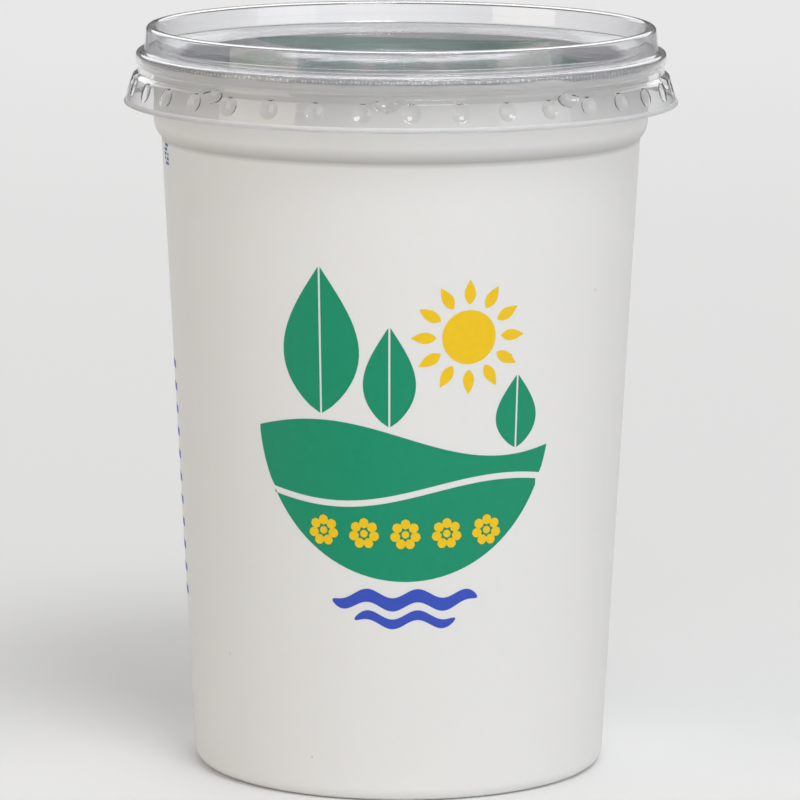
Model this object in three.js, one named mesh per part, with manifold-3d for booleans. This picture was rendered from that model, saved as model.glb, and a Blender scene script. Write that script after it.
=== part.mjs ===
// A half-kilo tub of yoghurt, shut: a tapered white tub, a foil seal over its rim and a clear press-on lid.
// Millimetres, +Z up. The origin is the centre of the base, and the printed front faces -Y.
// Profiles are drawn as (radius, height) and turned about the Z axis.
import * as THREE from "three";
import { mergeVertices } from "three/addons/utils/BufferGeometryUtils.js";
import Module from "manifold-3d";

// Driving dimensions of the tub
const RIM_RADIUS = 45;
const RIM_TOP = 124.4;
const RIM_HEIGHT = 2.3;
const RIM_TOP_EDGE = 0.5;
const RIM_LOW_EDGE = 0.8;
const SEAT_WIDTH = 3;
const SEAT_DROP = 1;
const COLLAR_RADIUS = 42.8;
const COLLAR_FOOT = 113.3;
const COLLAR_ROUND = 3.9;
const COLLAR_SWEEP = THREE.MathUtils.degToRad(48.6);
const WALL_DRAFT = THREE.MathUtils.degToRad(3);
const BASE_EDGE = 2.5;
const FOOT_WIDTH = 4.5;
const BASE_RECESS = 1.5;

// Driving dimensions of the seal
const FOIL = 0.2;
const SEAL_GAP = 0.05;
const SEAL_BEND = 0.45;
const SEAL_LIP = 0.75;
const SEAL_DISH_RADIUS = 40.4;
const SEAL_DISH_SLOPE = 1.5;
const SEAL_DISH = 0.9;
const TAB_DROP = 0.4;
const TAB_FROM = THREE.MathUtils.degToRad(37);
const TAB_TO = THREE.MathUtils.degToRad(64);
const TAB_OVERLAP = 0.3;

// Driving dimensions of the lid
const SHEET = 0.4;
const LID_TOP = 129.4;
const PANEL_TOP = 124.4;
const PANEL_RADIUS = 39.2;
const WELL_RADIUS = 41.85;
const WELL_FLOOR = 125.6;
const RIDGE_INNER_RADIUS = 42.35;
const RIDGE_OUTER_RADIUS = 44.05;
const RIDGE_EDGE = 0.6;
const RING_FOOT_RADIUS = 44.45;
const SHOULDER_TOP = 125.15;
const SHOULDER_FILLET = 0.5;
const BEAD_RADIUS = 45.9;
const BEAD_EDGE = 0.7;
const BEAD_FOOT = 123.4;
const NECK_RADIUS = 45.5;
const NECK_TOP = 122.75;
const NECK_FOOT = 121.5;
const SKIRT_TOP_RADIUS = 46.45;
const SKIRT_TOP = 120.95;
const SKIRT_FOOT_RADIUS = 47.65;
const SKIRT_FOOT = 117.1;
const LIP_RADIUS = 48;
const LID_FOOT = 116.5;
const DIMPLES = 36;
const DIMPLE_PHASE = THREE.MathUtils.degToRad(2.1);
const DIMPLE_RADIUS = 1.6;
const DIMPLE_DEPTH = 0.5;
const DIMPLE_HEIGHT = 119.4;
const LUGS = 9;
const LUG_PHASE = THREE.MathUtils.degToRad(-2.9);
const LUG_BALL = 2.4;
const LUG_RADIUS = 47.8;
const LUG_HEIGHT = 121.3;

// Fineness
const TURN_STEPS = 60;
const ARC_STEPS = 1;
const BALL_SIDES = 8;
const BALL_RINGS = 10;

const wasm = await Module();
wasm.setup();

// A profile of (radius, height) points, turned about the Z axis. Angle 0 is the front, and it grows towards +X.
function turned(points) {
  return new THREE.LatheGeometry(points, TURN_STEPS).rotateX(Math.PI / 2);
}

// The points at a distance to the right of an open profile, which runs from the axis outwards.
function offset(points, distance) {
  return points.map((point, i) => {
    const before = points[Math.max(i - 1, 0)];
    const after = points[Math.min(i + 1, points.length - 1)];
    const into = new THREE.Vector2().subVectors(i ? point : after, i ? before : point).normalize();
    const out = new THREE.Vector2().subVectors(after, i < points.length - 1 ? point : before).normalize();
    const sum = new THREE.Vector2(into.y + out.y, -into.x - out.x);
    return sum.multiplyScalar(distance / (1 + into.dot(out))).add(point);
  });
}

// A thin sheet whose upper, outer face follows an open profile that starts on the axis.
function sheet(points, thickness) {
  return turned([...offset(points, thickness), ...points.toReversed()]);
}

// A closed geometry as a solid that can be joined and cut, without the triangles that collapse on the axis.
function solid(geometry) {
  const bare = new THREE.BufferGeometry();
  bare.setAttribute("position", geometry.getAttribute("position"));
  bare.setIndex(geometry.index);
  const merged = mergeVertices(bare, 1e-4);
  const corners = merged.index.array;
  const kept = [];
  for (let i = 0; i < corners.length; i += 3) {
    const [a, b, c] = corners.slice(i, i + 3);
    if (a !== b && b !== c && c !== a) kept.push(a, b, c);
  }
  const vertProperties = merged.getAttribute("position").array;
  return new wasm.Manifold(new wasm.Mesh({ numProp: 3, vertProperties, triVerts: new Uint32Array(kept) }));
}

// A joined or cut solid as a geometry again.
function geometryOf(body) {
  const { vertProperties, triVerts } = body.getMesh();
  const geometry = new THREE.BufferGeometry();
  geometry.setAttribute("position", new THREE.BufferAttribute(vertProperties, 3));
  geometry.setIndex(new THREE.BufferAttribute(triVerts, 1));
  geometry.computeVertexNormals();
  return geometry;
}

// One tub, solid because it is shut: foot ring, tapered wall, stepped collar and rolled rim.
function tubGeometry() {
  const creaseRadius = COLLAR_RADIUS - COLLAR_ROUND * (1 - Math.cos(COLLAR_SWEEP));
  const creaseHeight = COLLAR_FOOT - COLLAR_ROUND * Math.sin(COLLAR_SWEEP);
  const edgeHeight = BASE_EDGE * (1 - Math.sin(WALL_DRAFT));
  const edgeRadius = creaseRadius - (creaseHeight - edgeHeight) * Math.tan(WALL_DRAFT);
  const footRadius = edgeRadius - BASE_EDGE * Math.cos(WALL_DRAFT);
  const rimFoot = RIM_TOP - RIM_HEIGHT;
  const seatRadius = RIM_RADIUS - SEAT_WIDTH;
  const seatFloor = RIM_TOP - SEAT_DROP;

  const profile = new THREE.Path();
  profile.moveTo(0, BASE_RECESS);
  profile.lineTo(footRadius - FOOT_WIDTH - BASE_RECESS, BASE_RECESS);
  profile.lineTo(footRadius - FOOT_WIDTH, 0);
  profile.lineTo(footRadius, 0);
  profile.absarc(footRadius, BASE_EDGE, BASE_EDGE, -Math.PI / 2, -WALL_DRAFT, false);
  profile.lineTo(creaseRadius, creaseHeight);
  profile.absarc(COLLAR_RADIUS - COLLAR_ROUND, COLLAR_FOOT, COLLAR_ROUND, -COLLAR_SWEEP, 0, false);
  profile.lineTo(COLLAR_RADIUS, rimFoot);
  profile.lineTo(RIM_RADIUS - RIM_LOW_EDGE, rimFoot);
  profile.absarc(RIM_RADIUS - RIM_LOW_EDGE, rimFoot + RIM_LOW_EDGE, RIM_LOW_EDGE, -Math.PI / 2, 0, false);
  profile.absarc(RIM_RADIUS - RIM_TOP_EDGE, RIM_TOP - RIM_TOP_EDGE, RIM_TOP_EDGE, 0, Math.PI / 2, false);
  profile.lineTo(seatRadius, RIM_TOP);
  profile.lineTo(seatRadius - SEAT_DROP, seatFloor);
  profile.lineTo(0, seatFloor);
  return turned(profile.getPoints(ARC_STEPS));
}

// One foil seal: a shallow dish, bonded to the rim, with its edge turned down and a longer pull tab.
function sealGeometry() {
  const top = RIM_TOP + SEAL_GAP + FOIL;
  const edgeRadius = RIM_RADIUS + SEAL_GAP + FOIL;
  const profile = new THREE.Path();
  profile.moveTo(0, top - SEAL_DISH);
  profile.lineTo(SEAL_DISH_RADIUS, top - SEAL_DISH);
  profile.lineTo(SEAL_DISH_RADIUS + SEAL_DISH_SLOPE, top);
  profile.lineTo(edgeRadius - SEAL_BEND, top);
  profile.absarc(edgeRadius - SEAL_BEND, top - SEAL_BEND, SEAL_BEND, Math.PI / 2, 0, true);
  profile.lineTo(edgeRadius, top - SEAL_LIP);
  const disc = solid(sheet(profile.getPoints(ARC_STEPS), FOIL));

  // The tab is an arc-shaped strip below the lip, and the turn by a quarter puts angle 0 at the front.
  const arc = new THREE.Shape();
  arc.absarc(0, 0, edgeRadius, TAB_FROM - Math.PI / 2, TAB_TO - Math.PI / 2, false);
  arc.absarc(0, 0, edgeRadius - FOIL, TAB_TO - Math.PI / 2, TAB_FROM - Math.PI / 2, true);
  const depth = TAB_DROP + TAB_OVERLAP;
  const strip = new THREE.ExtrudeGeometry(arc, { depth, bevelEnabled: false, curveSegments: BALL_SIDES });
  strip.translate(0, 0, top - SEAL_LIP - TAB_DROP);
  return geometryOf(disc.add(solid(strip)));
}

// The outer face of the lid from the middle of its panel to the lip of its skirt.
function lidProfile() {
  const ridge = LID_TOP - RIDGE_EDGE;
  const profile = new THREE.Path();
  profile.moveTo(0, PANEL_TOP);
  profile.lineTo(PANEL_RADIUS, PANEL_TOP);
  profile.lineTo(WELL_RADIUS, WELL_FLOOR);
  profile.absarc(RIDGE_INNER_RADIUS + RIDGE_EDGE, ridge, RIDGE_EDGE, Math.PI, Math.PI / 2, true);
  profile.absarc(RIDGE_OUTER_RADIUS - RIDGE_EDGE, ridge, RIDGE_EDGE, Math.PI / 2, 0, true);
  profile.lineTo(RING_FOOT_RADIUS, SHOULDER_TOP + SHOULDER_FILLET);
  profile.lineTo(RING_FOOT_RADIUS + SHOULDER_FILLET, SHOULDER_TOP);
  profile.absarc(BEAD_RADIUS - BEAD_EDGE, SHOULDER_TOP - BEAD_EDGE, BEAD_EDGE, Math.PI / 2, 0, true);
  profile.lineTo(BEAD_RADIUS, BEAD_FOOT);
  profile.lineTo(NECK_RADIUS, NECK_TOP);
  profile.lineTo(NECK_RADIUS, NECK_FOOT);
  profile.lineTo(SKIRT_TOP_RADIUS, SKIRT_TOP);
  profile.lineTo(SKIRT_FOOT_RADIUS, SKIRT_FOOT);
  profile.lineTo(LIP_RADIUS, LID_FOOT);
  return profile.getPoints(ARC_STEPS);
}

// A ball at an angle round the lid, whose pole points along the slope of the wall that it dents.
function ball(radius, atRadius, atHeight, angle, tilt) {
  const geometry = new THREE.SphereGeometry(radius, BALL_SIDES, BALL_RINGS);
  geometry.rotateX(Math.PI / 2);
  geometry.rotateX(Math.PI / 2 - tilt);
  geometry.translate(0, -atRadius, atHeight);
  geometry.rotateZ(angle);
  return solid(geometry);
}

// The dents pressed into the skirt: a row of round dimples, and lugs that catch under the rim.
function lidDents() {
  const skirtRun = new THREE.Vector2(SKIRT_FOOT_RADIUS - SKIRT_TOP_RADIUS, SKIRT_FOOT - SKIRT_TOP);
  const slope = Math.atan2(skirtRun.x, -skirtRun.y);
  const dimpleBall = (DIMPLE_RADIUS ** 2 + DIMPLE_DEPTH ** 2) / (2 * DIMPLE_DEPTH);
  const lift = dimpleBall - DIMPLE_DEPTH;
  const share = (SKIRT_TOP - DIMPLE_HEIGHT) / (SKIRT_TOP - SKIRT_FOOT);
  const dimpleRadius = THREE.MathUtils.lerp(SKIRT_TOP_RADIUS, SKIRT_FOOT_RADIUS, share) + lift * Math.cos(slope);
  const dimpleHeight = DIMPLE_HEIGHT + lift * Math.sin(slope);
  const dimples = Array.from({ length: DIMPLES }, (_, i) => {
    const angle = DIMPLE_PHASE + (i * 2 * Math.PI) / DIMPLES;
    return { size: dimpleBall, radius: dimpleRadius, height: dimpleHeight, angle, tilt: slope };
  });
  const lugs = Array.from({ length: LUGS }, (_, i) => {
    const angle = LUG_PHASE + (i * 2 * Math.PI) / LUGS;
    return { size: LUG_BALL, radius: LUG_RADIUS, height: LUG_HEIGHT, angle, tilt: 0 };
  });
  return [...dimples, ...lugs];
}

// One clear lid: recessed panel, stacking ridge, bead over the rim, and a flared skirt with its dents.
function lidGeometry() {
  const profile = lidProfile();
  const dents = lidDents();
  const balls = (grow) => dents.map((d) => ball(d.size + grow, d.radius, d.height, d.angle, d.tilt));
  const skirt = offset(profile, SHEET / 2).filter((point) => point.x > NECK_RADIUS - SHEET && point.y < BEAD_FOOT);
  const core = [new THREE.Vector2(0, LID_FOOT), ...skirt.toReversed(), new THREE.Vector2(0, BEAD_FOOT)];
  const backs = wasm.Manifold.union(balls(SHEET)).intersect(solid(turned(core)));
  return geometryOf(solid(sheet(profile, SHEET)).add(backs).subtract(wasm.Manifold.union(balls(0))));
}

function piece(name, geometry, material) {
  const mesh = new THREE.Mesh(geometry, new THREE.MeshStandardMaterial(material));
  mesh.name = name;
  return mesh;
}

const yoghurtTub = new THREE.Group();
yoghurtTub.add(
  piece("tub", tubGeometry(), { color: 0xeeeeea, roughness: 0.35, metalness: 0 }),
  piece("foil_seal", sealGeometry(), { color: 0xb4b6ba, roughness: 0.45, metalness: 0.8 }),
  piece("lid", lidGeometry(), { color: 0xf2f3f7, roughness: 0.06, metalness: 0, transparent: true, opacity: 0.3 }),
);

export default yoghurtTub;
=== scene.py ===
# %% [markdown]
# # A tub of yoghurt, still shut
# The object is a tall white plastic tub. A printed foil seal closes it, and a clear lid sits over the rim.
# The engineering model already gives every piece its size and place, so this lesson never moves anything:
# it loads that model as a frame and builds finer pieces, with their finishes, around it.

# %% Load the model that gives every size
import math

import bmesh
import bpy
from mathutils import Matrix, Vector


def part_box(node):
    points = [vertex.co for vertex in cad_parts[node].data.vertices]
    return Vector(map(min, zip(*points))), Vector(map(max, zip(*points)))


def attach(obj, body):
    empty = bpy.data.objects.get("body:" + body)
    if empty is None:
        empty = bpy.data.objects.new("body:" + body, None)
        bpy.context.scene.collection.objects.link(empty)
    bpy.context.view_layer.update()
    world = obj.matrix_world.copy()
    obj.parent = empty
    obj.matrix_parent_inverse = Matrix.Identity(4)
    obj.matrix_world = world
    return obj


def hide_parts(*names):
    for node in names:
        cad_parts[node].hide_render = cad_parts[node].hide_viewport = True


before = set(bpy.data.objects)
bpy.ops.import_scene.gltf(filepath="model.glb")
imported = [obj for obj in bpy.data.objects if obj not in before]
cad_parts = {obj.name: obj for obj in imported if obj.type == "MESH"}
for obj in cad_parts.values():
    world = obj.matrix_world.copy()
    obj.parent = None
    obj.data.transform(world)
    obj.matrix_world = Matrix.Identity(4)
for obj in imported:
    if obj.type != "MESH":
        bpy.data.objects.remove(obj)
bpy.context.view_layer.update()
MM = 0.001
print("nodes in the frame:", sorted(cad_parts))

# %% [markdown]
# ## The camera
# A long lens far away gives the flat look of a product photograph. The distance, height and lens were worked
# out from how round the lid's ring and the base look, so the outline of the tub falls where the photo has it.

# %% Make the camera
CAMERA_DISTANCE = 0.9722
CAMERA_HEIGHT = 0.2277
CAMERA_PITCH = math.radians(9.58)
CAMERA_ROLL = math.radians(0.2)
CAMERA_ANGLE = math.radians(8.113)

camera = bpy.data.objects.new("camera", bpy.data.cameras.new("camera"))
camera.data.angle = CAMERA_ANGLE
camera.matrix_world = (
    Matrix.Translation((0, -CAMERA_DISTANCE, CAMERA_HEIGHT))
    @ Matrix.Rotation(math.pi / 2 - CAMERA_PITCH, 4, "X")
    @ Matrix.Rotation(CAMERA_ROLL, 4, "Z")
)
bpy.context.scene.collection.objects.link(camera)
bpy.context.scene.camera = camera
print("lens of the camera in mm:", round(camera.data.lens))

# %% [markdown]
# ## How a moulded piece is turned
# The tub, the seal and the lid are all round, so each starts as half of its outline: a wire of straight edges
# in the XZ plane. A vertex bevel rounds every corner of the wire by its own radius, as the mould does, and a
# spin about the Z axis makes the surface. A screw modifier could do the same, but a spin leaves plain mesh
# that can be pressed and trimmed afterwards.

# %% Helpers that draw, round and turn an outline
AXIS = {"cent": (0, 0, 0), "axis": (0, 0, 1), "dvec": (0, 0, 0)}
WELD = 1e-6


def outline(bm, corners, steps=4):
    """Draw a wire through (radius, height, fillet) corners, in metres, and round each corner."""
    verts = [bm.verts.new((radius, 0, height)) for radius, height, fillet in corners]
    for pair in zip(verts, verts[1:]):
        bm.edges.new(pair)
    setbacks = []
    for before, vert, after, corner in zip(verts, verts[1:], verts[2:], corners[1:]):
        bend = (vert.co - before.co).angle(after.co - vert.co)
        setbacks.append((vert, corner[2] * math.tan(bend / 2)))
    for vert, setback in setbacks:
        if setback:
            bmesh.ops.bevel(
                bm, geom=[vert], offset=setback, offset_type="OFFSET", affect="VERTICES",
                segments=steps, profile=0.5, material=-1,
            )


def turn(bm, steps):
    """Spin the whole wire once round the Z axis and close its seam and poles."""
    bmesh.ops.spin(bm, geom=bm.verts[:] + bm.edges[:], angle=2 * math.pi, steps=steps, use_merge=True, **AXIS)
    bmesh.ops.remove_doubles(bm, verts=bm.verts, dist=WELD)
    bmesh.ops.recalc_face_normals(bm, faces=bm.faces)


def split_longest(bm, cuts, low, high):
    """Add rows to the longest edge of a wire that lies between two heights."""
    inside = [e for e in bm.edges if all(low - WELD < v.co.z < high + WELD for v in e.verts)]
    bmesh.ops.subdivide_edges(bm, edges=[max(inside, key=lambda e: e.calc_length())], cuts=cuts)


def piece(bm, name, material, node=None, crease=40):
    """Turn a bmesh into a smooth object that rides on the part, and may stand for a node of the frame."""
    mesh = bpy.data.meshes.new(name)
    bm.to_mesh(mesh)
    bm.free()
    mesh.shade_smooth()
    mesh.set_sharp_from_angle(angle=math.radians(crease))
    mesh.materials.append(material)
    made = bpy.data.objects.new(name, mesh)
    bpy.context.scene.collection.objects.link(made)
    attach(made, "root")
    if node:
        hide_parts(node)
    print(f"{name}: {len(mesh.vertices)} vertices, {len(mesh.polygons)} faces")
    return made


# %% [markdown]
# ## How a finish is written
# Every finish is one Principled shader. A value that is the same all over is set on the shader's own socket.
# A pattern, such as a fine grain, reads Object coordinates in metres, so a scale of 1000 gives details of
# about a millimetre, wherever the piece stands.

# %% Helpers for finishes
def finish(name, **sockets):
    """Make a material whose Principled shader has the given socket values."""
    material = bpy.data.materials.new(name)
    material.use_nodes = True
    shader = material.node_tree.nodes["Principled BSDF"]
    for socket, value in sockets.items():
        shader.inputs[socket.replace("_", " ")].default_value = value
    return material


def node(material, kind, **settings):
    """Add a node to a material. Settings name its properties, or its input sockets with spaces."""
    made = material.node_tree.nodes.new("ShaderNode" + kind)
    for name, value in settings.items():
        if hasattr(made, name):
            setattr(made, name, value)
        else:
            made.inputs[name.replace("_", " ")].default_value = value
    return made


def link(material, source, target):
    """Join an output socket to an input socket."""
    material.node_tree.links.new(source, target)


def pattern(material, kind, stretch=(1, 1, 1), **settings):
    """Add a texture node that reads Object coordinates, stretched along each axis."""
    place = node(material, "TexCoord")
    mapping = node(material, "Mapping", Scale=stretch)
    texture = node(material, kind, **settings)
    link(material, place.outputs["Object"], mapping.inputs["Vector"])
    link(material, mapping.outputs["Vector"], texture.inputs["Vector"])
    return texture


def ramp(material, source, low, high, start, end):
    """Map a value's stretch from low to high onto the stretch from start to end."""
    made = node(material, "MapRange", From_Min=low, From_Max=high, To_Min=start, To_Max=end)
    link(material, source, made.inputs["Value"])
    return made.outputs["Result"]


def combine(material, operation, first, second):
    """Combine two values by a mathematical operation."""
    made = node(material, "Math", operation=operation)
    link(material, first, made.inputs[0])
    link(material, second, made.inputs[1])
    return made.outputs["Value"]


def emboss(material, height, depth, strength=1.0):
    """Bend the shader's normal by a height pattern that is depth metres deep."""
    bump = node(material, "Bump", Strength=strength, Distance=depth)
    link(material, height, bump.inputs["Height"])
    link(material, bump.outputs["Normal"], material.node_tree.nodes["Principled BSDF"].inputs["Normal"])


# %% [markdown]
# ## The plastic of the tub
# The tub is injection-moulded white plastic with a satin skin. Three faint things keep it from looking like
# a flat fill: a fine moulded grain, long rub marks that run up the wall and change its gloss, and a few dark
# specks of dust. A grey in the crease under the collar is painted shade. All are patterns in the finish,
# because none of them would show in the outline.

# %% The satin white finish
TUB_WHITE = (0.76, 0.755, 0.74, 1)
SPECK_AND_SHADE_GREY = (0.42, 0.41, 0.39, 1)
CREASE_HEIGHT = 110.38 * MM
# painted shade: how far above and below the crease the colour is greyed, and how dark
SHADE_ABOVE_CREASE = 2.6 * MM
SHADE_BELOW_CREASE = 0.9 * MM
CREASE_SHADE = 0.8


def crease_painted_shade(made):
    """How much painted shade greys the crease under the collar: most at the crease, fading up and down."""
    place = node(made, "TexCoord")
    split = node(made, "SeparateXYZ")
    link(made, place.outputs["Object"], split.inputs["Vector"])
    above = ramp(made, split.outputs["Z"], CREASE_HEIGHT, CREASE_HEIGHT + SHADE_ABOVE_CREASE, CREASE_SHADE, 0)
    below = ramp(made, split.outputs["Z"], CREASE_HEIGHT - SHADE_BELOW_CREASE, CREASE_HEIGHT, 0, CREASE_SHADE)
    return combine(made, "MINIMUM", above, below)


def satin_white():
    made = finish(
        "satin_white_plastic", Subsurface_Weight=0.1, Subsurface_Scale=1.5 * MM, IOR=1.49,
        Specular_IOR_Level=0.3,
    )
    shader = made.node_tree.nodes["Principled BSDF"]
    rubs = pattern(made, "TexNoise", stretch=(420, 420, 26), Scale=1, Detail=4)
    link(made, ramp(made, rubs.outputs["Fac"], 0.3, 0.7, 0.3, 0.4), shader.inputs["Roughness"])
    dust = pattern(made, "TexVoronoi", Scale=210)
    chosen = node(made, "SeparateColor")
    link(made, dust.outputs["Color"], chosen.inputs["Color"])
    near = ramp(made, dust.outputs["Distance"], 0.03, 0.05, 1, 0)
    few = ramp(made, chosen.outputs["Red"], 0.84, 0.86, 0, 0.7)
    specks = combine(made, "MULTIPLY", near, few)
    # the specks are real dust; the grey in the crease is painted shade under the collar
    dark = combine(made, "MAXIMUM", specks, crease_painted_shade(made))
    tone = node(made, "Mix", data_type="RGBA")
    tone.inputs[6].default_value = TUB_WHITE
    tone.inputs[7].default_value = SPECK_AND_SHADE_GREY
    link(made, dark, tone.inputs["Factor"])
    link(made, tone.outputs[2], shader.inputs["Base Color"])
    grain = pattern(made, "TexNoise", Scale=900, Detail=3)
    emboss(made, grain.outputs["Fac"], 0.02 * MM, 0.35)
    return made


tub_finish = satin_white()
print("finish made:", tub_finish.name)

# %% [markdown]
# ## The tub
# On the real tub one mould makes the foot, the tapered wall, the stepped collar that lets empty tubs nest,
# and the rolled rim that carries seal and lid. The outline below walks from the middle of the underside,
# up the outside, over the rim and back to the axis under the seal. The wall leans out by three degrees, so
# its radius at any height follows from one line, which the print uses later.

# %% Model the tub
tub_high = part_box("tub")[1]
RIM_RADIUS = tub_high.x
RIM_TOP = tub_high.z
RIM_HEIGHT = 2.3 * MM
SEAT_WIDTH = 3 * MM
SEAT_DROP = 1 * MM
COLLAR_RADIUS = 42.8 * MM
COLLAR_FOOT = 111.54 * MM
COLLAR_ROUND = 3.6 * MM
CREASE_RADIUS = 41.48 * MM
WALL_DRAFT = math.radians(3)
BASE_EDGE = 2.5 * MM
FOOT_WIDTH = 4.5 * MM
BASE_RECESS = 1.5 * MM
TUB_STEPS = 240


def wall_radius(height):
    """The radius of the tapered wall at a height."""
    return CREASE_RADIUS - (CREASE_HEIGHT - height) * math.tan(WALL_DRAFT)


def model_tub():
    bm = bmesh.new()
    foot = wall_radius(0) - BASE_EDGE
    seat = RIM_RADIUS - SEAT_WIDTH
    outline(bm, [
        (0, BASE_RECESS, 0),
        (foot - FOOT_WIDTH - BASE_RECESS, BASE_RECESS, 0.8 * MM),
        (foot - FOOT_WIDTH, 0, 0.5 * MM),
        (wall_radius(0), 0, BASE_EDGE),
        (CREASE_RADIUS, CREASE_HEIGHT, 0.2 * MM),
        (COLLAR_RADIUS, COLLAR_FOOT, COLLAR_ROUND),
        (COLLAR_RADIUS, RIM_TOP - RIM_HEIGHT, 0.4 * MM),
        (RIM_RADIUS, RIM_TOP - RIM_HEIGHT, 0.8 * MM),
        (RIM_RADIUS, RIM_TOP, 0.5 * MM),
        (seat, RIM_TOP, 0.3 * MM),
        (seat - SEAT_DROP, RIM_TOP - SEAT_DROP, 0.3 * MM),
        (0, RIM_TOP - SEAT_DROP, 0),
    ], steps=6)
    turn(bm, TUB_STEPS)
    return piece(bm, "tub_shell", tub_finish, "tub")


tub = model_tub()

# %% [markdown]
# ## The foil of the seal
# The seal is thin aluminium, lacquered to a dull grey and rolled with a fine texture, which shows best where
# the light grazes its turned edge. A Voronoi pattern with little randomness gives rows of small pimples. The
# sealing iron has dulled and pressed the edge, so there the finish loses its metal, and the pimples stand out
# by painted shade in the foil's colour as well as by bumps. Both follow the distance from the axis.

# %% The embossed foil finish
EDGE_BAND = (44.3 * MM, 44.9 * MM)
METAL = (0.55, 0.15)
PIMPLE_SHARE = (0.12, 1)
FOIL_BRIGHT = (0.9, 0.9, 0.91, 1)
FOIL_HOLLOW_SHADE = (0.5, 0.5, 0.515, 1)


def embossed_foil():
    made = finish("embossed_foil", IOR=1.45)
    shader = made.node_tree.nodes["Principled BSDF"]
    place = node(made, "TexCoord")
    flat = node(made, "VectorMath", operation="MULTIPLY")
    flat.inputs[1].default_value = (1, 1, 0)
    far = node(made, "VectorMath", operation="LENGTH")
    link(made, place.outputs["Object"], flat.inputs[0])
    link(made, flat.outputs["Vector"], far.inputs[0])
    link(made, ramp(made, far.outputs["Value"], *EDGE_BAND, *METAL), shader.inputs["Metallic"])
    edge = ramp(made, far.outputs["Value"], *EDGE_BAND, *PIMPLE_SHARE)
    pimples = pattern(made, "TexVoronoi", Scale=1700, Randomness=0.35)
    creases = pattern(made, "TexNoise", Scale=120, Detail=5, Distortion=0.6)
    link(made, ramp(made, creases.outputs["Fac"], 0.3, 0.7, 0.36, 0.5), shader.inputs["Roughness"])
    tone = node(made, "Mix", data_type="RGBA")
    tone.inputs[6].default_value = FOIL_BRIGHT
    tone.inputs[7].default_value = FOIL_HOLLOW_SHADE
    # painted shade: near the edge the foil's colour turns grey in the pimple pattern
    hollow_painted_shade = ramp(made, pimples.outputs["Distance"], 0.15, 0.5, 0, 1)
    link(made, combine(made, "MULTIPLY", hollow_painted_shade, edge), tone.inputs["Factor"])
    link(made, tone.outputs[2], shader.inputs["Base Color"])
    emboss(made, combine(made, "MULTIPLY", pimples.outputs["Distance"], edge), 0.15 * MM, 0.8)
    return made


foil_finish = embossed_foil()
print("finish made:", foil_finish.name)

# %% [markdown]
# ## The seal
# The disc is glued to the rim, sags a little inside it, and its edge is turned down over the rim. At the
# right a longer pull tab hangs from the edge, and beside it the edge is cut away. The disc is turned like the
# tub, then its lowest rows are stretched to that edge, and slow waves give the flat part its slack.

# %% Model the seal
seal_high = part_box("foil_seal")[1]
FOIL = 0.2 * MM
SEAL_TOP = seal_high.z
SEAL_EDGE = seal_high.x
DISH_RADIUS = 40.4 * MM
DISH_SLOPE = 1.5 * MM
DISH = 0.9 * MM
LIP = 0.75 * MM
TAB_LIP = 1.15 * MM
NOTCH_LIP = 0.4 * MM
NOTCH = (math.radians(29), math.radians(36.5))
TAB = (math.radians(38), math.radians(64))
EDGE_SOFTNESS = math.radians(1.2)
SLACK = 0.07 * MM
SEAL_STEPS = 360


def between(angle, limits):
    """Rise softly from 0 to 1 inside two limits of an angle, and fall again."""
    inside = min(angle - limits[0], limits[1] - angle) / EDGE_SOFTNESS
    return min(max(inside, 0), 1)


def slack(x, y):
    """The height of the foil's slow waves at a place, none of them outside the dish."""
    fade = max(0, 1 - (math.hypot(x, y) / DISH_RADIUS) ** 4)
    waves = math.sin(x * 190 + y * 60) + math.sin(y * 230 - x * 90 + 1) + math.sin((x + y) * 130 + 2)
    return SLACK * fade * waves / 2


def lip_depth(angle):
    """How far the turned edge hangs down at an angle from the front."""
    ragged = 0.06 * math.sin(angle * 23) + 0.04 * math.sin(angle * 57 + 1)
    depth = LIP * (1 + ragged)
    depth += (TAB_LIP - LIP) * between(angle, TAB)
    return depth + (NOTCH_LIP - LIP) * between(angle, NOTCH)


def model_seal():
    bm = bmesh.new()
    outline(bm, [
        (0, SEAL_TOP - DISH, 0),
        (DISH_RADIUS, SEAL_TOP - DISH, 1 * MM),
        (DISH_RADIUS + DISH_SLOPE, SEAL_TOP, 1 * MM),
        (SEAL_EDGE, SEAL_TOP, 0.4 * MM),
        (SEAL_EDGE, SEAL_TOP - LIP, 0),
    ])
    split_longest(bm, 24, SEAL_TOP - DISH, SEAL_TOP - DISH)
    turn(bm, SEAL_STEPS)
    for vert in bm.verts:
        x, y, z = vert.co
        if math.hypot(x, y) > SEAL_EDGE - WELD * 10:
            share = (SEAL_TOP - z) / LIP
            vert.co.z = SEAL_TOP - share * lip_depth(math.atan2(x, -y))
        else:
            vert.co.z += slack(x, y)
    made = piece(bm, "seal_foil", foil_finish, "foil_seal")
    wall = made.modifiers.new("foil thickness", "SOLIDIFY")
    wall.thickness = FOIL
    wall.offset = -1
    return made


seal = model_seal()

# %% [markdown]
# ## The clear plastic of the lid
# The lid is thin clear sheet. Real thickness is what makes it look right: light bends twice in the wall, so
# its round edges draw bright and dark lines. So the finish is plain clear plastic with full transmission, a
# faint ripple from forming, and no tricks with transparency. Along its edge the sheet was cut, and the cut
# is rough and pale, so the edge has a finish of its own.

# %% The clear finish
SHEET_TINT = (0.984, 0.985, 0.995, 1)
CUT_TINT = (0.93, 0.93, 0.94, 1)
SHEET_IOR = 1.42


def clear_sheet():
    made = finish(
        "clear_plastic_sheet", Base_Color=SHEET_TINT, Roughness=0.03, IOR=SHEET_IOR,
        Transmission_Weight=1.0,
    )
    ripple = pattern(made, "TexNoise", Scale=140, Detail=2)
    emboss(made, ripple.outputs["Fac"], 0.03 * MM, 0.3)
    return made


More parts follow.
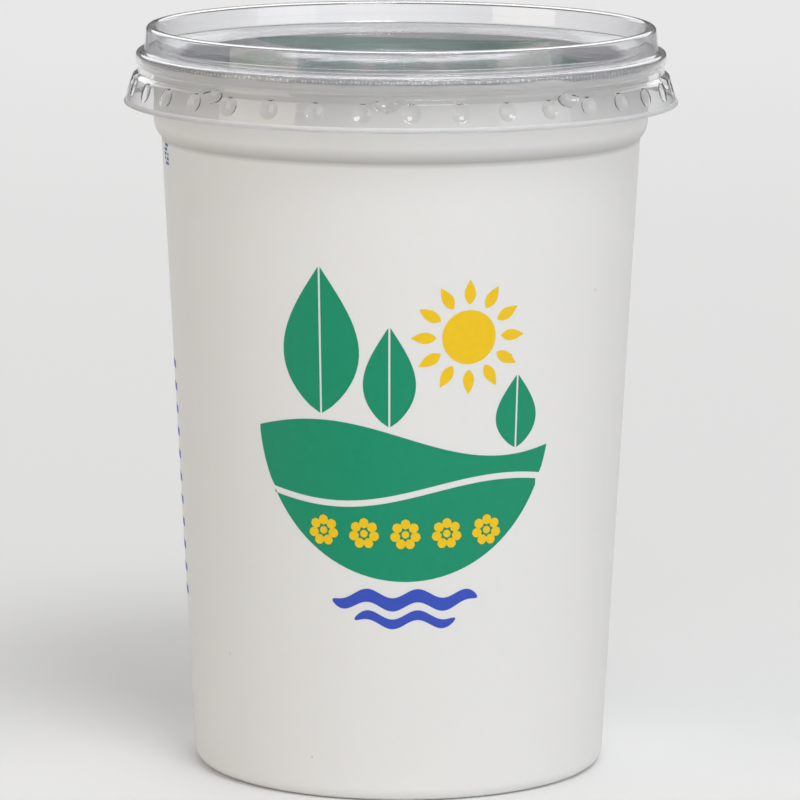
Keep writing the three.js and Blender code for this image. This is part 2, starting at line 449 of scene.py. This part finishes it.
def cut_edge():
    made = finish(
        "cut_sheet_edge", Base_Color=CUT_TINT, IOR=SHEET_IOR, Transmission_Weight=0.6,
    )
    nicks = pattern(made, "TexNoise", Scale=2500, Detail=2)
    rough = ramp(made, nicks.outputs["Fac"], 0.3, 0.7, 0.5, 0.8)
    link(made, rough, made.node_tree.nodes["Principled BSDF"].inputs["Roughness"])
    return made


clear_finish = clear_sheet()
edge_finish = cut_edge()
print("finishes made:", clear_finish.name, edge_finish.name)

# %% [markdown]
# ## The lid
# A hot sheet was pulled over a mould: a sunk panel, a ridge that holds the next tub in a stack, a bead over
# the rim, a neck under it, and a flared skirt. Only the outer face is drawn. It is spun in short stages, with
# close columns where a dimple or a lug comes and wide ones between them, so the dents are round and the mesh
# stays light. Then the dents are pressed in, and a Solidify modifier gives the sheet its wall.

# %% Turn the outer face of the lid
lid_low, lid_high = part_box("lid")
SHEET = 0.25 * MM
LID_TOP = lid_high.z
LID_FOOT = lid_low.z
LIP_RADIUS = lid_high.x
PANEL_TOP = 124.4 * MM
PANEL_RADIUS = 39.2 * MM
WELL_RADIUS = 41.85 * MM
WELL_FLOOR = 125.6 * MM
RIDGE_INNER_RADIUS = 42.35 * MM
RIDGE_OUTER_RADIUS = 44.05 * MM
RING_FOOT_RADIUS = 44.45 * MM
SHOULDER_TOP = 125.15 * MM
BEAD_RADIUS = 45.9 * MM
BEAD_FOOT = 123.4 * MM
NECK_RADIUS = 45.5 * MM
NECK_TOP = 122.75 * MM
NECK_FOOT = 121.5 * MM
SKIRT_TOP_RADIUS = 46.45 * MM
SKIRT_TOP = 120.95 * MM
SKIRT_FOOT_RADIUS = 47.65 * MM
SKIRT_FOOT = 117.1 * MM
SKIRT_SLOPE = math.atan2(SKIRT_FOOT_RADIUS - SKIRT_TOP_RADIUS, SKIRT_TOP - SKIRT_FOOT)
DIMPLES = 36
DIMPLE_PHASE = math.radians(2.1)
DIMPLE_ZONE = math.radians(4.6)
LUGS = 9


def lid_face():
    bm = bmesh.new()
    outline(bm, [
        (0, PANEL_TOP, 0),
        (PANEL_RADIUS, PANEL_TOP, 1.2 * MM),
        (WELL_RADIUS, WELL_FLOOR, 1 * MM),
        (RIDGE_INNER_RADIUS, LID_TOP, 0.7 * MM),
        (RIDGE_OUTER_RADIUS, LID_TOP, 0.7 * MM),
        (RING_FOOT_RADIUS, SHOULDER_TOP, 0.5 * MM),
        (BEAD_RADIUS, SHOULDER_TOP, 0.7 * MM),
        (BEAD_RADIUS, BEAD_FOOT, 0.5 * MM),
        (NECK_RADIUS, NECK_TOP, 0.5 * MM),
        (NECK_RADIUS, NECK_FOOT, 0.3 * MM),
        (SKIRT_TOP_RADIUS, SKIRT_TOP, 0.6 * MM),
        (SKIRT_FOOT_RADIUS, SKIRT_FOOT, 0.5 * MM),
        (LIP_RADIUS, LID_FOOT, 0),
    ], steps=3)
    split_longest(bm, 20, SKIRT_FOOT, SKIRT_TOP)
    split_longest(bm, 3, SKIRT_TOP, NECK_FOOT)
    start = DIMPLE_PHASE - DIMPLE_ZONE / 2
    bmesh.ops.rotate(bm, verts=bm.verts, cent=(0, 0, 0), matrix=Matrix.Rotation(start - math.pi / 2, 3, "Z"))
    last = bm.verts[:] + bm.edges[:]
    gap = 2 * math.pi / DIMPLES - DIMPLE_ZONE
    for i in range(DIMPLES):
        gap_steps = 18 if i % (DIMPLES // LUGS) == DIMPLES // LUGS - 1 else 3
        for angle, steps in ((DIMPLE_ZONE, 18), (gap, gap_steps)):
            spun = bmesh.ops.spin(bm, geom=last, angle=angle, steps=steps, use_merge=False, **AXIS)
            last = spun["geom_last"]
    bmesh.ops.remove_doubles(bm, verts=bm.verts, dist=WELD)
    bmesh.ops.recalc_face_normals(bm, faces=bm.faces)
    if min(bm.faces, key=lambda f: f.calc_center_median().xy.length).normal.z < 0:
        bmesh.ops.reverse_faces(bm, faces=bm.faces)
    print("faces of the lid's outer side:", len(bm.faces))
    return bm


lid_mesh = lid_face()

# %% [markdown]
# The dimples are shallow round cups in a row on the skirt, which stiffen it. Between every fourth pair a
# deeper lug is scooped out of the skirt's shoulder: from inside it catches under the rim. A dimple pushes the
# wall in along the skirt's normal, and a lug pushes it straight in, as far as the ball that pressed it.
# Points close to a dimple's rim are first drawn onto it, so that the rim is a clean circle. The lowest faces,
# the lip of the skirt, take the finish of the cut edge.

# %% Press the dents and give the lid its wall
DIMPLE_RADIUS = 1.6 * MM
DIMPLE_DEPTH = 0.45 * MM
DIMPLE_SNAP = 0.055
DIMPLE_HEIGHT = 119.4 * MM
LUG_BALL = 2.4 * MM
LUG_RADIUS = 47.8 * MM
LUG_HEIGHT = 121.3 * MM
LUG_WIDEN = 0.9
LUG_FLATTEN = 1.3


def nearest(angle, count, phase):
    """The angle from the nearest of a ring of evenly spaced places."""
    step = 2 * math.pi / count
    return (angle - phase + step / 2) % step - step / 2


def press_dimple(vert, angle):
    radius = vert.co.xy.length
    across = nearest(angle, DIMPLES, DIMPLE_PHASE) * radius
    up = (vert.co.z - DIMPLE_HEIGHT) / math.cos(SKIRT_SLOPE)
    share = math.hypot(across, up) / DIMPLE_RADIUS
    if abs(share - 1) < DIMPLE_SNAP:
        drop = up * (1 - 1 / share) * math.cos(SKIRT_SLOPE)
        angle -= across * (1 - 1 / share) / radius
        radius += drop * math.tan(SKIRT_SLOPE)
        vert.co = (radius * math.sin(angle), -radius * math.cos(angle), vert.co.z - drop)
    elif share < 1:
        push = DIMPLE_DEPTH * (1 - share ** 2)
        out = vert.co.xy.normalized() * math.cos(SKIRT_SLOPE)
        vert.co -= Vector((out.x, out.y, math.sin(SKIRT_SLOPE))) * push


def press_lug(vert, angle):
    phase = DIMPLE_PHASE - math.pi / DIMPLES
    across = nearest(angle, LUGS, phase) * vert.co.xy.length
    from_middle = math.hypot(across * LUG_WIDEN, (vert.co.z - LUG_HEIGHT) * LUG_FLATTEN)
    if from_middle < LUG_BALL:
        limit = LUG_RADIUS - math.sqrt(LUG_BALL ** 2 - from_middle ** 2)
        if vert.co.xy.length > limit:
            vert.co.xy = vert.co.xy.normalized() * limit


def model_lid(bm):
    skirt = [v for v in bm.verts if SKIRT_FOOT < v.co.z < NECK_FOOT and v.co.xy.length > NECK_RADIUS]
    for vert in skirt:
        angle = math.atan2(vert.co.x, -vert.co.y)
        press_dimple(vert, angle)
        press_lug(vert, angle)
    for face in bm.faces:
        face.material_index = face.calc_center_median().z < SKIRT_FOOT
    made = piece(bm, "lid_shell", clear_finish, "lid")
    made.data.materials.append(edge_finish)
    wall = made.modifiers.new("sheet thickness", "SOLIDIFY")
    wall.thickness = SHEET
    wall.offset = -1
    return made


lid = model_lid(lid_mesh)

# %% [markdown]
# ## The print
# The front carries a round printed landscape: two hills, leaf-shaped trees, a rising sun with yellow flowers,
# and a blue brook below. Ink could be painted in the tub's finish, but a baked picture of it would blur. Each
# shape is a small grid that a formula bends into a leaf, a petal or a band, and the flat shapes are then
# wrapped on the wall as a film of ink, a few hundredths of a millimetre proud.

# %% Helpers that draw flat shapes and lay them as ink
INK = 0.04 * MM
SUNK = 0.06 * MM


def patch(bm, columns, rows, shape):
    """Add a grid whose every point (s, t), both from 0 to 1, goes where the shape's formula puts it."""
    grid = bmesh.ops.create_grid(bm, x_segments=columns, y_segments=rows, size=0.5)
    for vert in grid["verts"]:
        u, v = shape(vert.co.x + 0.5, vert.co.y + 0.5)
        vert.co = (u, v, 0)


def disc(s, t, middle, radius):
    """Where a point of a square grid goes when the square is blown up to a disc."""
    a, b = 2 * s - 1, 2 * t - 1
    u = middle[0] + radius * a * math.sqrt(1 - b * b / 2)
    return u, middle[1] + radius * b * math.sqrt(1 - a * a / 2)


def leaf(bm, root, lean, length, width, bend=0.0, vein=0.35 * MM):
    """Add a pointed leaf in two halves, with a bare vein between them. Lean and bend are angles."""
    for side in (-1, 1):
        def blade(s, t):
            along = lean + bend * (s - 0.5)
            half = vein / 2 + width / 2 * math.sin(math.pi * s ** 0.8) * t
            u = root[0] + s * length * math.sin(along) + side * half * math.cos(along)
            return u, root[1] + s * length * math.cos(along) - side * half * math.sin(along)
        patch(bm, 20, 4, blade)


def flower(bm, middle, size, petals=7):
    """Add a flower of round petals about a small disc."""
    for i in range(petals):
        turned = 2 * math.pi * i / petals

        def petal(s, t):
            far = size * (0.34 + 0.66 * s)
            half = size * 0.3 * math.sqrt(max(0, 1 - (2 * s - 1) ** 2)) * (2 * t - 1)
            u = middle[0] + far * math.sin(turned) + half * math.cos(turned)
            return u, middle[1] + far * math.cos(turned) - half * math.sin(turned)
        patch(bm, 8, 4, petal)
    bmesh.ops.create_circle(
        bm, cap_ends=True, cap_tris=True, segments=20, radius=size * 0.24,
        matrix=Matrix.Translation((middle[0], middle[1], 0)),
    )


def band(bm, left, right, low, high, columns=48):
    """Add a band between two curves, low(u) and high(u), with closer columns towards its ends."""
    def fill(s, t):
        u = left + (right - left) * (1 - math.cos(math.pi * s)) / 2
        return u, low(u) + (high(u) - low(u)) * t
    patch(bm, columns, 4, fill)


def lay_ink(bm, name, material, place, lift=0.0):
    """Give flat shapes the thickness of ink and put each point where place(u, v, off) says."""
    bmesh.ops.remove_doubles(bm, verts=bm.verts, dist=WELD)
    under = bmesh.ops.extrude_face_region(bm, geom=bm.faces[:])["geom"]
    moved = [g for g in under if isinstance(g, bmesh.types.BMVert)]
    bmesh.ops.translate(bm, verts=moved, vec=(0, 0, -SUNK - INK - lift))
    bmesh.ops.recalc_face_normals(bm, faces=bm.faces)
    for vert in bm.verts:
        vert.co = place(vert.co.x, vert.co.y, vert.co.z + INK + lift)
    return piece(bm, name, material)


print("ink film in mm:", round((INK + SUNK) / MM, 2))

# %% [markdown]
# The inks are opaque with a low gloss, and a faint mottle, as thin ink on plastic has. The ink on the seal is
# a brighter green, painted light that makes up for the light the lid takes from it, because it is only seen
# through the lid.

# %% The inks
GREEN = (0.002, 0.27, 0.14, 1)
# painted light: brighter than the tub's green to make up for the light the lid takes from the seal
SEAL_GREEN_PAINTED_BRIGHTER = (0.01, 0.44, 0.28, 1)
YELLOW = (0.88, 0.56, 0.005, 1)
BLUE = (0.035, 0.08, 0.5, 1)
MOTTLE = 0.88


def ink(name, colour):
    made = finish(name, Roughness=0.4, IOR=1.5, Specular_IOR_Level=0.3)
    shader = made.node_tree.nodes["Principled BSDF"]
    cover = pattern(made, "TexNoise", Scale=700, Detail=3)
    tone = node(made, "Mix", data_type="RGBA")
    tone.inputs[6].default_value = colour
    tone.inputs[7].default_value = [MOTTLE * c for c in colour[:3]] + [1]
    link(made, cover.outputs["Fac"], tone.inputs["Factor"])
    link(made, tone.outputs[2], shader.inputs["Base Color"])
    return made


green_ink = ink("green_ink", GREEN)
seal_ink = ink("seal_green_ink", SEAL_GREEN_PAINTED_BRIGHTER)
yellow_ink = ink("yellow_ink", YELLOW)
blue_ink = ink("blue_ink", BLUE)
print("inks made:", green_ink.name, yellow_ink.name, blue_ink.name)

# %% [markdown]
# The picture is drawn once, about the middle of its lower edge, inside an oval. On the tub it is wrapped
# round the wall, on the front and again on the back. On the seal it lies flat, in green alone.

# %% Draw the landscape
OVAL_HALF_WIDTH = 26.5 * MM
OVAL_HALF_HEIGHT = 27.5 * MM
HILL_GAP = 1.1 * MM
SUN = (10.5 * MM, 42 * MM)
SUN_RADIUS = 4.6 * MM
SUN_RAYS = 12
RAY_GAP = 1 * MM
RAY_LENGTH = 4.2 * MM
RAY_WIDTH = 1.9 * MM
FLOWER_PITCH = 7.2 * MM
FLOWER_SIZE = 2.7 * MM
BROOK = ((-3.2 * MM, 13 * MM, 2.3 * MM), (-6.6 * MM, 9 * MM, 1.7 * MM))
BROOK_WAVE = 0.8 * MM
TREES = ((-14.5 * MM, 25 * MM, 13 * MM), (-2.8 * MM, 17 * MM, 8.5 * MM), (19.5 * MM, 12.5 * MM, 7.5 * MM))


def oval_foot(u):
    return OVAL_HALF_HEIGHT * (1 - math.sqrt(max(0, 1 - (u / OVAL_HALF_WIDTH) ** 2)))


def near_hill(u):
    return 15 * MM + 2.2 * MM * math.sin(2 * math.pi * (u - 3 * MM) / (58 * MM))


def far_hill(u):
    return 24.5 * MM + 3.2 * MM * math.cos(2 * math.pi * (u + 15 * MM) / (64 * MM))


def draw_hills(bm):
    band(bm, -23.6 * MM, 23.9 * MM, oval_foot, near_hill)
    band(bm, -26.4 * MM, 26 * MM, lambda u: max(near_hill(u) + HILL_GAP, oval_foot(u)), far_hill)


def draw_trees(bm):
    for u, height, width in TREES:
        leaf(bm, (u, far_hill(u) + HILL_GAP), 0, height, width)


def draw_sun(bm):
    patch(bm, 12, 12, lambda s, t: disc(s, t, SUN, SUN_RADIUS))
    for i in range(SUN_RAYS):
        lean = 2 * math.pi * i / SUN_RAYS
        root = Vector(SUN) + Vector((math.sin(lean), math.cos(lean))) * (SUN_RADIUS + RAY_GAP)
        leaf(bm, root, lean, RAY_LENGTH, RAY_WIDTH, vein=0)
    for i in range(-2, 3):
        flower(bm, (i * FLOWER_PITCH, (8.2 + 0.1 * i * i) * MM), FLOWER_SIZE)


def draw_brook(bm):
    for middle, half, thick in BROOK:
        def wave(u, edge):
            taper = math.sqrt(max(0, 1 - (u / half) ** 6))
            return middle + BROOK_WAVE * math.sin(u * 700) + edge * taper * thick / 2
        band(bm, -half, half, lambda u: wave(u, -1), lambda u: wave(u, 1), columns=80)


print("picture in mm:", round(2 * OVAL_HALF_WIDTH / MM), "by", round(2 * OVAL_HALF_HEIGHT / MM))

# %% Print the landscape on the front and the back of the tub
LABEL_ANGLE = math.radians(1.5)
LABEL_FOOT = 38.8 * MM
LABEL_MIDDLE = wall_radius(65 * MM)


def on_wall(middle):
    """A place on the wall, by the distance right of an angle and the height above the label's foot."""
    def place(u, v, off):
        height = LABEL_FOOT + v
        angle = middle + u / LABEL_MIDDLE
        radius = wall_radius(height) + off
        return Vector((radius * math.sin(angle), -radius * math.cos(angle), height))
    return place


for side, middle in (("front", LABEL_ANGLE), ("back", LABEL_ANGLE + math.pi)):
    for name, draw, colour, lift in (
        ("hills", draw_hills, green_ink, 0), ("trees", draw_trees, green_ink, 0),
        ("sun", draw_sun, yellow_ink, 0.02 * MM), ("brook", draw_brook, blue_ink, 0),
    ):
        flat = bmesh.new()
        draw(flat)
        lay_ink(flat, f"print_{name}_{side}", colour, on_wall(middle), lift)

# %% Print the hills and a row of leaves on the seal
SEAL_PRINT_FOOT = 5 * MM
SEAL_LEAVES = 5
SEAL_LEAF_PITCH = 12.5 * MM
SEAL_LEAF_FOOT = -36 * MM
SEAL_LEAF_LENGTH = 28 * MM
SEAL_LEAF_WIDTH = 11 * MM


def on_seal(u, v, off):
    x, y = u + 0.5 * MM, SEAL_PRINT_FOOT + v
    return Vector((x, y, SEAL_TOP - DISH + slack(x, y) + off))


flat = bmesh.new()
draw_hills(flat)
for i in range(SEAL_LEAVES):
    u = (i - (SEAL_LEAVES - 1) / 2) * SEAL_LEAF_PITCH
    leaf(flat, (u, SEAL_LEAF_FOOT + oval_foot(u) / 2), 0, SEAL_LEAF_LENGTH, SEAL_LEAF_WIDTH)
lay_ink(flat, "print_seal", seal_ink, on_seal)

# %% [markdown]
# ## The small print
# Round the left side runs a block of small dark-blue rows, and near the collar a stamped code of tiny dots.
# Both are drawn as plain bars, because only their weight and place matter.

# %% Print the rows and the stamped code
ROWS_ANGLE = math.radians(-103)
ROWS = 11
ROW_PITCH = 4 * MM
ROW_HEIGHT = 1.3 * MM
ROWS_HALF = 15 * MM
CODE_ANGLE = math.radians(-76.6)
CODE_FOOT = 67.6 * MM
CODE_ROWS = 5
CODE_COLUMNS = 4
CODE_PITCH = (0.75 * MM, 0.8 * MM)
CODE_DOT = 0.5 * MM


def bar(bm, left, right, middle, height):
    band(bm, left, right, lambda u: middle - height / 2, lambda u: middle + height / 2, columns=12)


flat = bmesh.new()
for row in range(ROWS):
    end = ROWS_HALF * (1 - 0.55 * ((row * 5) % 7) / 7)
    bar(flat, -end, ROWS_HALF, row * ROW_PITCH - 8 * MM, ROW_HEIGHT)
lay_ink(flat, "print_rows", blue_ink, on_wall(ROWS_ANGLE))

flat = bmesh.new()
for row in range(CODE_ROWS):
    for column in range(CODE_COLUMNS):
        if (row * 3 + column * 5) % 4:
            left = (column - 2) * CODE_PITCH[0]
            bar(flat, left, left + CODE_DOT, CODE_FOOT + row * CODE_PITCH[1], CODE_DOT)
lay_ink(flat, "print_code", blue_ink, on_wall(CODE_ANGLE))

# %% [markdown]
# ## Floor and light
# A pale floor runs far behind the tub and fills the picture. A small key light hangs high at the front,
# two larger ones stand at the sides, the left one warm, and a wide one lights the floor from behind.

# %% Lay the floor
FLOOR_HALF = 6.0

floor_mesh = bpy.data.meshes.new("floor")
floor_bm = bmesh.new()
bmesh.ops.create_grid(floor_bm, x_segments=1, y_segments=1, size=FLOOR_HALF)
floor_bm.to_mesh(floor_mesh)
floor_bm.free()
floor_mesh.materials.append(finish("pale_floor", Base_Color=(0.93, 0.93, 0.93, 1), Roughness=0.7))
floor = bpy.data.objects.new("floor", floor_mesh)
bpy.context.scene.collection.objects.link(floor)
print("floor laid, half width in m:", FLOOR_HALF)

# %% Hang the lights
def softbox(name, azimuth, distance, height, size, power, colour):
    """Hang a rectangular light at an angle from the camera's side, turned towards the tub."""
    data = bpy.data.lights.new(name, "AREA")
    data.shape = "RECTANGLE"
    data.size, data.size_y = size
    data.energy = power
    data.color = colour
    lamp = bpy.data.objects.new(name, data)
    angle = math.radians(azimuth)
    lamp.location = (distance * math.sin(angle), -distance * math.cos(angle), height)
    aim = Vector((0, 0, 0.06)) - lamp.location
    lamp.rotation_euler = aim.to_track_quat("-Z", "Y").to_euler()
    bpy.context.scene.collection.objects.link(lamp)
    return lamp


softbox("light_key", 20, 0.9, 1.3, (0.5, 0.5), 6, (0.97, 0.985, 1))
softbox("light_right", 60, 1.5, 0.5, (0.86, 1.0), 2.2, (0.96, 0.98, 1))
softbox("light_left", -65, 1.5, 0.5, (0.95, 1.0), 5.5, (1, 0.91, 0.77))
softbox("light_back", 180, 1.6, 1.2, (3.2, 1.6), 20, (1, 1, 1))

# %% [markdown]
# The room itself is grey and glows softly at the front right. A black room would draw hard black lines in the
# clear lid.

# %% Light the room
ROOM_LEVEL = 0.12
GLOW_AZIMUTH = math.radians(25)
GLOW_HEIGHT = math.radians(20)
GLOW_START = 0.5
GLOW_LEVEL = 1.42

world = bpy.data.worlds.new("studio")
world.use_nodes = True
backdrop = world.node_tree.nodes["Background"]
backdrop.inputs["Color"].default_value = (1, 1, 1, 1)
place = node(world, "TexCoord")
facing = node(world, "VectorMath", operation="DOT_PRODUCT")
facing.inputs[1].default_value = (
    math.sin(GLOW_AZIMUTH) * math.cos(GLOW_HEIGHT),
    -math.cos(GLOW_AZIMUTH) * math.cos(GLOW_HEIGHT),
    math.sin(GLOW_HEIGHT),
)
link(world, place.outputs["Generated"], facing.inputs[0])
level = ramp(world, facing.outputs["Value"], GLOW_START, 1, ROOM_LEVEL, GLOW_LEVEL)
link(world, level, backdrop.inputs["Strength"])
scene = bpy.context.scene
scene.world = world
scene.view_settings.view_transform = "Standard"
scene.cycles.max_bounces = 24
scene.cycles.transmission_bounces = 24
scene.cycles.glossy_bounces = 10
